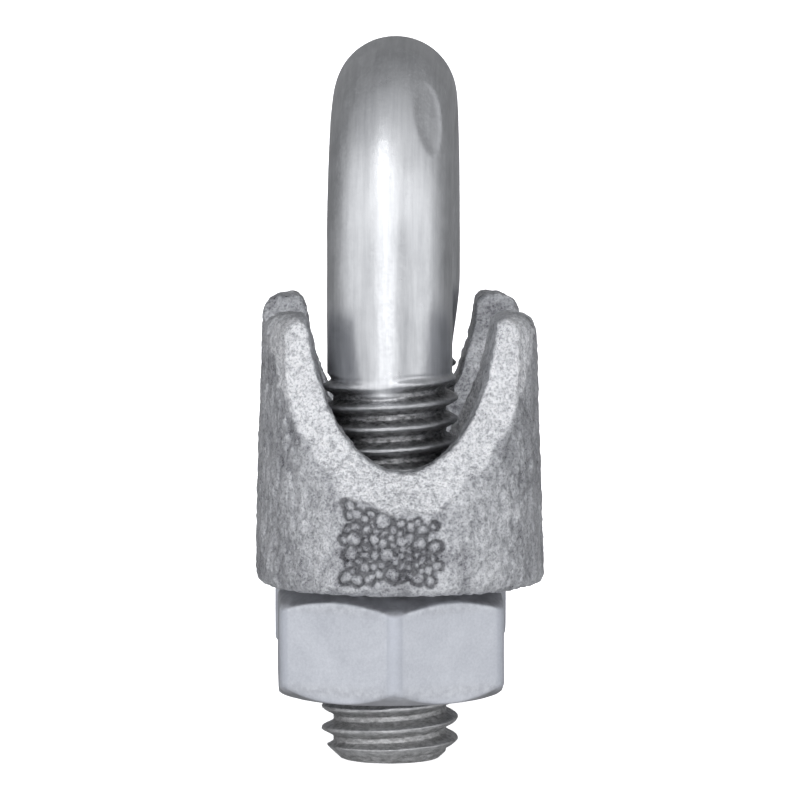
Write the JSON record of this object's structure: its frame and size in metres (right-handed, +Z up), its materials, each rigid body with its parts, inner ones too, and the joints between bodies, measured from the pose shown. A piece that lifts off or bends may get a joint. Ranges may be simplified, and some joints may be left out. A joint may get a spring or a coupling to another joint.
{
  "type": "wire rope clip",
  "caption": "Wire rope clip: threaded U-bolt, forked cast saddle with a ribbed rope seat, and hex nuts that draw it up the legs.",
  "frame": {"origin": "on the plane of the U-bolt's leg ends, under the middle of the saddle", "axes": "+X along the rope, +Y from the front leg to the rear leg, +Z up the legs towards the bow"},
  "size_m": [0.0174, 0.0356, 0.042],
  "materials": {
    "bright_zinc": "bright zinc plating on drawn steel bar",
    "galvanised_iron": "galvanised, pebbly as-cast skin",
    "satin_zinc": "satin zinc plating"
  },
  "bodies": {
    "u_bolt": {"u_bolt": "bright_zinc"},
    "saddle": {"saddle": "galvanised_iron"},
    "nut_front": {"nut_front": "satin_zinc"},
    "nut_rear": {"nut_rear": "satin_zinc"}
  },
  "joints": [
    {"name": "saddle_slide", "type": "slide", "parent": "u_bolt", "child": "saddle", "axis": [0, 0, 1], "range_m": [-0.0038, 0.0112]},
    {"name": "nut_front_spin", "type": "hinge", "parent": "saddle", "child": "nut_front", "pos_m": [-0.0003, -0.0095, 0.007], "axis": [0, 0, 1], "range_deg": [-1094, 3225]},
    {"name": "nut_rear_spin", "type": "hinge", "parent": "saddle", "child": "nut_rear", "pos_m": [-0.0003, 0.0095, 0.007], "axis": [0, 0, 1], "range_deg": [-1099, 3230]}
  ],
  "couplings": [
    {"joint": "saddle_slide", "follows": "nut_front_spin", "m_per_rad": 0.00019894},
    {"joint": "nut_rear_spin", "follows": "nut_front_spin", "ratio": 1}
  ]
}
